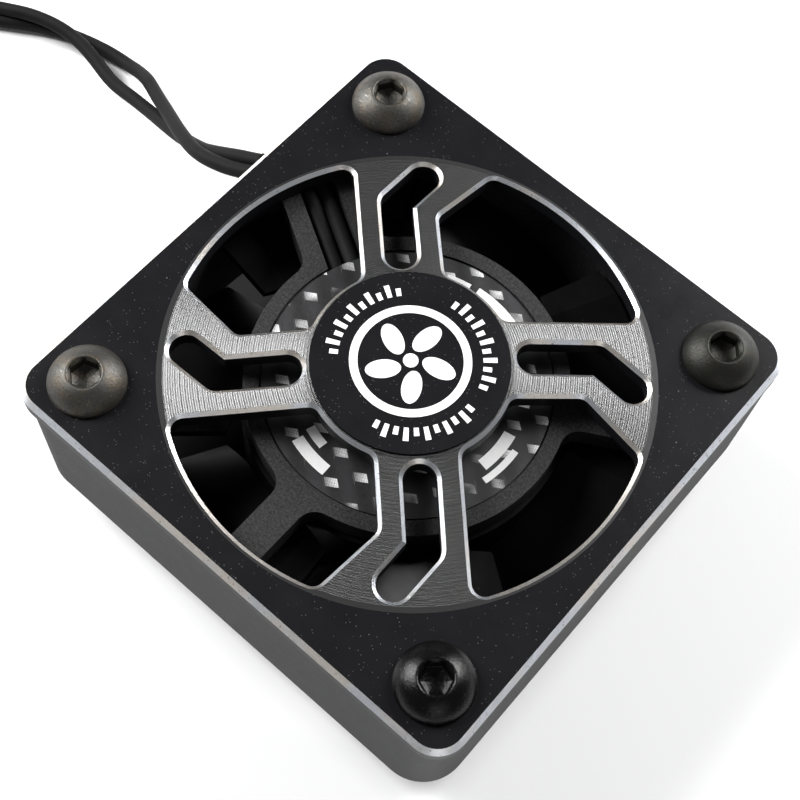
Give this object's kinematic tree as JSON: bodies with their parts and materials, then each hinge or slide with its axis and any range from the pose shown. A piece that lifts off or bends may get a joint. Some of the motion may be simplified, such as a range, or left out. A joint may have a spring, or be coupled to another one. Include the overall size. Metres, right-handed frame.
{
  "type": "cooling fan",
  "caption": "Square cooling fan with a domed metal finger guard, button-head screws that stand out below the frame, and a twisted two-wire lead with a flat plug.",
  "frame": {"origin": "middle of the square frame, on the plane that the four screw tips stand on", "axes": "+Z along the impeller's axis, out through the guard; X and Y along the frame's sides; the lead leaves the -X side"},
  "size_m": [0.0951, 0.0479, 0.0177],
  "materials": {
    "anodised_guard": "satin black anodised, bare machined bevels",
    "screw_steel": "worn black oxide",
    "frame_plastic": "fine spark texture, dark grey",
    "label_print": "printed weave with pale marks",
    "rotor_plastic": "glossy black",
    "wire_jacket": "matte black silicone",
    "coil_copper": "enamelled copper",
    "core_steel": "laminated steel",
    "polished_steel": "ground steel",
    "magnet_grey": "bonded ferrite",
    "tube_brass": "turned brass",
    "insulator_plastic": "natural nylon",
    "board_green": "solder mask",
    "chip_black": "moulded epoxy",
    "solder_tin": "bright solder",
    "plug_plastic": "smooth moulded black"
  },
  "bodies": {
    "housing": {"fan_guard": "anodised_guard", "guard_screws": "screw_steel", "fan_frame": "frame_plastic", "hub_label": "label_print", "lead_positive": "wire_jacket", "lead_negative": "wire_jacket", "lower_outer_race": "polished_steel", "lower_bearing_balls": "polished_steel", "upper_outer_race": "polished_steel", "upper_bearing_balls": "polished_steel", "bearing_tube": "tube_brass", "lower_insulator": "insulator_plastic", "upper_insulator": "insulator_plastic", "stator_core": "core_steel", "stator_coils": "coil_copper", "circuit_board": "board_green", "driver_chip": "chip_black", "board_capacitor": "insulator_plastic", "solder_joints": "solder_tin", "cord_run": "wire_jacket", "cord_tail": "wire_jacket", "cord_coil": "wire_jacket", "plug_housing": "plug_plastic", "plug_contacts": "tube_brass"},
    "rotor": {"impeller": "rotor_plastic", "rotor_yoke": "core_steel", "rotor_magnet": "magnet_grey", "shaft_bush": "tube_brass", "rotor_shaft": "polished_steel", "shaft_retainer": "polished_steel", "preload_spring": "polished_steel", "lower_inner_race": "polished_steel", "upper_inner_race": "polished_steel"}
  },
  "joints": [
    {"name": "impeller_spin", "type": "hinge", "parent": "housing", "child": "rotor", "pos_m": [0, 0, 0.008], "axis": [0, 0, 1], "continuous": true}
  ]
}
